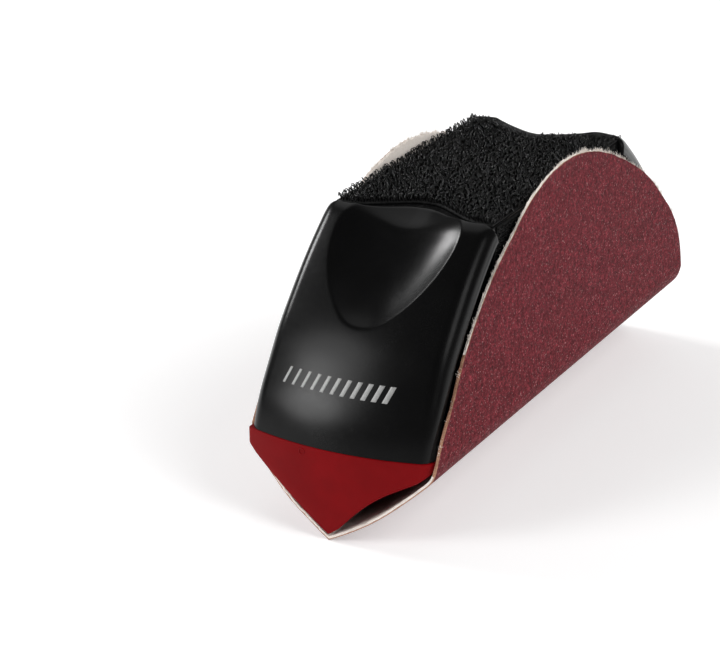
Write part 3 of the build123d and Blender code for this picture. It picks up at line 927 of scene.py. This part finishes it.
OUT_LEFT = [
    (-82.4, 25.4), (-79.5, 30.6), (-73.8, 38.9), (-68.4, 45.5), (-62.8, 51.1), (-55.2, 57.9), (-47.4, 63.6),
    (-40.0, 68.3), (-33.4, 72.1), (-27.0, 75.5), (-20.7, 78.3), (-11.5, 80.7), (-2.7, 81.8), (5.0, 81.9),
    (13.0, 81.2), (20.0, 80.1), (26.7, 78.3), (33.0, 75.2), (40.5, 70.4), (48.4, 64.2), (56.2, 57.9),
    (63.8, 51.1), (69.4, 45.5), (74.8, 38.9), (80.5, 30.6), (83.4, 25.4),
]


def path_shift(p, d):
    """Polyline (x, z) moved to its side by d."""
    t = np.gradient(p, axis=0)
    t /= np.linalg.norm(t, axis=1, keepdims=True)
    return p + np.stack([-t[:, 1], t[:, 0]], -1) * d


def sheet_half(name, sgn, mid_pts, outline, seed, set_back):
    """One half of the wrapped sheet, from its lowest fold up to the flap's rounded tip."""
    n_col, n_mid, n_flap = 380, 46, 74
    out = curve2(outline, n_col)
    arc = np.r_[0, np.cumsum(np.hypot(*np.diff(out, axis=0).T))]
    mid = curve2(mid_pts, n_mid) if sgn > 0 else None
    if mid is None:
        p = np.array(mid_pts, float)
        c = np.r_[0, np.cumsum(np.hypot(*np.diff(p, axis=0).T))]
        q = np.linspace(0, c[-1], 600)
        raw = np.stack([np.interp(q, c, p[:, 0]), np.interp(q, c, p[:, 1])], -1)
        for _ in range(160):
            raw[1:-1] = (raw[1:-1] * 2 + raw[:-2] + raw[2:]) / 4
        c = np.r_[0, np.cumsum(np.hypot(*np.diff(raw, axis=0).T))]
        q = np.linspace(0, c[-1], n_mid)
        mid = np.stack([np.interp(q, c, raw[:, 0]), np.interp(q, c, raw[:, 1])], -1)
    girth = np.r_[0, np.cumsum(np.hypot(*np.diff(mid, axis=0).T))]
    thick_lo, thick_hi = 0.0, 1.25
    norm = path_shift(mid, 1.0) - mid
    norm = norm if sgn > 0 else -norm
    # at the fold both halves meet on the plane that halves its angle
    norm[0] = np.array([0.0, 1.0]) * 1.25
    norm[1] = norm[1] * 0.5 + np.array([0.0, 1.0]) * 0.5
    yfront, yrear = out[0, 0], out[-1, 0]
    frac = np.where(out[:, 0] < 0, -out[:, 0] / yfront, out[:, 0] / yrear)  # -1 .. 1
    fray_o = wobble(seed, arc, 2.2, 4) * 0.16 + wobble(seed + 1, arc, 9.0, 2) * 0.22
    fray_i = wobble(seed + 2, arc, 1.1, 4) * 0.34 + wobble(seed + 3, arc, 5.0, 3) * 0.25
    rows = n_mid + n_flap

    def surface(depth):
        """depth 0 is the grit face, 1 the loop face."""
        g = np.zeros((rows, n_col, 3))
        t = depth * SHEET_T
        for i in range(n_mid):
            x, z = mid[i] + norm[i] * t
            f = girth[i] / girth[-1]
            ends = end_y(mid[i, 0], 87.4) - set_back * smooth01((f - 0.35) / 0.5)
            # meet the flap's own foot at the hinge line
            k = smooth01((f - 0.72) / 0.28)
            ef, er = ends * (1 - k) + (-yfront) * k, ends * (1 - k) + yrear * k
            rag = wobble(seed + 5, np.array([girth[i] + 3.0]), 1.3, 3)[0] * (0.10 + 0.22 * depth)
            rag2 = wobble(seed + 6, np.array([girth[i] + 3.0]), 1.3, 3)[0] * (0.10 + 0.22 * depth)
            y = np.where(frac < 0, frac * (ef + rag), frac * (er + rag2))
            g[i] = np.stack([np.full(n_col, x), y, np.full(n_col, z)], -1)
        for r in range(n_flap):
            q = (r + 1) / n_flap
            zt = out[:, 1] + (fray_o * (1 - depth) + fray_i * depth) * q
            z = HINGE_Z + np.maximum(zt - HINGE_Z, 0.02) * q
            w = 29.4 - LEAN_V * (z - HINGE_Z)
            # the laminate bellies a little, and its tip stands proud of the hooks
            belly = 0.05 * (1 + np.sin(out[:, 0] / 23.0 + seed)) * smooth01((z - 34) / 20)
            free = np.clip((z - 79.0) / 6.0, 0, 1) ** 2 * 0.55
            x = w - t + belly + free - 0.25 * smooth01((z - HINGE_Z) / 5) * 0
            g[n_mid + r] = np.stack([sgn * x, out[:, 0], z], -1)
        return g

    layers = [0.0, 0.16, 0.36, 0.36, 0.6, 0.82, 1.0]
    face_o, face_i = surface(0.0), surface(1.0)
    v = [face_o.reshape(-1, 3), face_i.reshape(-1, 3)]
    n0 = rows * n_col
    f = [grid_faces(rows, n_col), grid_faces(rows, n_col, n0, True)]
    idx = [np.zeros(len(f[0]), int), np.ones(len(f[1]), int)]
    rim = np.r_[np.arange(n_col), np.arange(1, rows) * n_col + n_col - 1, (rows - 1) * n_col + np.arange(n_col - 2, -1, -1), np.arange(rows - 2, 0, -1) * n_col]
    steps = [0.18, 0.38, 0.62, 0.82]
    k = n0 * 2
    prev = rim
    rs = np.random.RandomState(seed + 9)
    a, b = face_o.reshape(-1, 3)[rim], face_i.reshape(-1, 3)[rim]
    bulge = np.array([0.0, 0.0, 0.0])
    centre = np.array([sgn * 26.0, 0.0, 40.0])
    for m_, st in enumerate(steps + [None]):
        if st is None:
            cur = rim + n0
        else:
            p = a * (1 - st) + b * st
            outd = p - centre
            outd[:, 0] = 0
            outd /= np.maximum(np.linalg.norm(outd, axis=1, keepdims=True), 1e-9)
            amp = 0.10 + 0.22 * st
            jit = rs.normal(0, 1, len(rim))
            jit = (jit + np.roll(jit, 1)) * 0.5
            fold = (np.arange(len(rim)) < n_col)
            p = p + outd * (jit * amp * 0.6 + 0.10 * math.sin(st * math.pi))[:, None] * np.where(fold, 0, 1)[:, None]
            v.append(p)
            cur = np.arange(len(rim)) + k
            k += len(rim)
        nx = np.roll(np.arange(len(rim)), -1)
        f.append(np.stack([prev, cur, cur[nx], prev[nx]], -1))
        # the edge's layers take their own tan and white colours, but which layers turn white depends on height: above
        # about 50 mm the inner layers take the white fleece colour, between the V and 50 mm the whole edge stays tan.
        # That split is painted light, a lit upper edge against a shaded lower one.
        low = a[:, 2] < 50 + 6 * wobble(seed + 30, np.arange(len(rim)) * 0.25, 3.0, 3)
        vee = a[:, 2] < 23.0
        idx.append(np.where(vee, 1 if m_ > 1 else 2, np.where(low | (m_ <= 0), 2, 1)))
        prev = cur
    ob = add_mesh(name, np.concatenate(v), np.concatenate(f), [M_GRIT, M_FLEECE, M_EDGE], np.concatenate(idx))
    clean(ob, 0.000004)
    sharp_by_angle(ob, 50)
    return ob, face_o, face_i, out


def tufts(name, sgn, face_o, face_i, seed, count):
    """Loose fibres that stand out of the loop backing along the sheet's cut edge."""
    r = np.random.RandomState(seed)
    rows, cols = face_o.shape[:2]
    top_o, top_i = face_o[-1], face_i[-1]
    pick = r.randint(6, cols - 6, count)
    clump = r.rand(count) < 0.45
    centres = r.randint(10, cols - 10, 26)
    keep_high = r.rand(count) < 0.8
    pick = np.where(keep_high & ((top_o[pick][:, 2]) < 52), r.randint(int(cols * 0.22), int(cols * 0.78), count), pick)
    pick = np.where(clump, np.clip(centres[r.randint(0, 26, count)] + r.normal(0, 2.0, count).astype(int), 4, cols - 5), pick)
    st = r.uniform(0.35, 1.0, count)[:, None]
    p = top_o[pick] * (1 - st) + top_i[pick] * st
    tang = top_o[np.minimum(pick + 2, cols - 1)] - top_o[np.maximum(pick - 2, 0)]
    tang /= np.linalg.norm(tang, axis=1, keepdims=True)
    side = np.array([sgn * 1.0, 0, 0])
    outd = np.cross(tang, np.tile(side, (count, 1)))
    outd *= np.sign((outd * (p - np.array([sgn * 26.0, 0, 40.0]))).sum(1, keepdims=True))
    length = r.uniform(0.22, 0.7, count)[:, None] * np.where(clump, 1.3, 1.0)[:, None]
    p = p + side * 0.12
    d0 = outd + r.normal(0, 0.3, (count, 3)) - side * r.uniform(-0.3, 0.0, count)[:, None]
    d1 = d0 + r.normal(0, 0.7, (count, 3))
    lines = np.stack([p - outd * 0.25, p + d0 * length * 0.5, p + d0 * length * 0.8 + d1 * length * 0.35], 1)
    v, f = tubes(lines, np.array([0.055, 0.045, 0.025]), 3)
    return add_mesh(name, v, f, [M_FLEECE])


for sgn, nm, mid_pts, outline, seed, back in (
    (1, "right", SHEET_RIGHT, OUT_RIGHT, 101, 0.0),
    (-1, "left", SHEET_LEFT, OUT_LEFT, 202, 2.2),
):
    ob, fo, fi, out = sheet_half("sheet_" + nm, sgn, mid_pts, outline, seed, back)
    fz = tufts("sheet_" + nm + "_fibres", sgn, fo, fi, seed + 20, 1500)
    for o in (ob, fz):
        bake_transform(o)
    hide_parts("sheet_middle_" + nm + "_abrasive", "sheet_middle_" + nm + "_loop", "flap_" + nm + "_abrasive", "flap_" + nm + "_loop")
    area = 0.5 * float(np.abs(np.cross(fo[1:, 1:] - fo[:-1, :-1], fo[1:, :-1] - fo[:-1, 1:])).reshape(-1, 3).__pow__(2).sum(1).__pow__(0.5).sum()) * 1e-6
    print("sheet", nm, "area m2", round(area, 5))

# -------------------------------------------------------------------- CAD nodes

for n, m in (("base_plate", M_SATIN), ("base_screws", M_ZINC)):
    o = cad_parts[n]
    o.data.materials.clear()
    o.data.materials.append(m)

# ------------------------------------------------------------- studio and camera

fm, nt, fb, fv = material("studio_floor")
fn = tex_noise(nt, fv, 6, 3)
nt.links.new(ramp(nt, fn.outputs["Fac"], [(0.3, grey(0.80)), (0.7, grey(0.84))]), fb.inputs["Base Color"])
fb.inputs["Roughness"].default_value = 0.9
fb.inputs["Emission Color"].default_value = (1, 1, 1, 1)
fb.inputs["Emission Strength"].default_value = 0.34
floor = add_mesh("studio_floor", [(-4000, -4000, 0), (4000, -4000, 0), (4000, 4000, 0), (-4000, 4000, 0)], [(0, 1, 2, 3)], [fm], smooth=False)
floor.location.z = -0.00002

world = bpy.data.worlds.new("studio_world")
scene.world = world
world.use_nodes = True
bg = world.node_tree.nodes["Background"]
wt = world.node_tree
sky = wt.nodes.new("ShaderNodeTexCoord")
split = wt.nodes.new("ShaderNodeSeparateXYZ")
wt.links.new(sky.outputs["Generated"], split.inputs["Vector"])
wt.links.new(ramp(wt, split.outputs["Z"], [(0.0, grey(0.55)), (0.03, grey(0.55)), (0.09, grey(0.10)), (0.45, grey(0.09)), (1.0, grey(0.06))]), bg.inputs["Color"])
bg.inputs["Strength"].default_value = 1.0


def soft_sun(name, towards, strength, angle):
    d = bpy.data.lights.new(name, "SUN")
    d.energy = strength
    d.angle = math.radians(angle)
    o = bpy.data.objects.new(name, d)
    o.rotation_euler = Vector(towards).to_track_quat("Z", "Y").to_euler()
    o.location = Vector(towards)
    scene.collection.objects.link(o)
    return o


soft_sun("left_front_low_soft", (-0.59, -0.71, 0.33), 0.95, 23)
soft_sun("left_front_high_soft", (-0.53, -0.62, 0.56), 0.55, 26)
soft_sun("left_side_soft", (-0.86, 0.06, 0.51), 1.45, 17)
soft_sun("right_fill", (0.80, -0.02, 0.60), 1.95, 48).visible_glossy = False
soft_sun("right_soft", (0.80, -0.10, 0.58), 0.32, 24)
soft_sun("top_soft", (-0.15, 0.60, 0.78), 0.5, 60)

cam_data = bpy.data.cameras.new("camera")
cam = bpy.data.objects.new("camera", cam_data)
scene.collection.objects.link(cam)
cam_data.sensor_width = 36.0
cam_data.lens = 2533.6 * 36.0 / 720.0
cam_data.clip_start, cam_data.clip_end = 0.01, 50
right = Vector((0.88226, 0.47071, -0.00701))
up = Vector((-0.16789, 0.32852, 0.92945))
backv = Vector((0.43980, -0.81885, 0.36887))
m = Matrix((right, up, backv)).transposed().to_4x4()
m.translation = Vector((0.29713, -0.62761, 0.30329))
cam.matrix_world = m
scene.camera = cam

scene.view_settings.view_transform = "Standard"
scene.view_settings.look = "None"
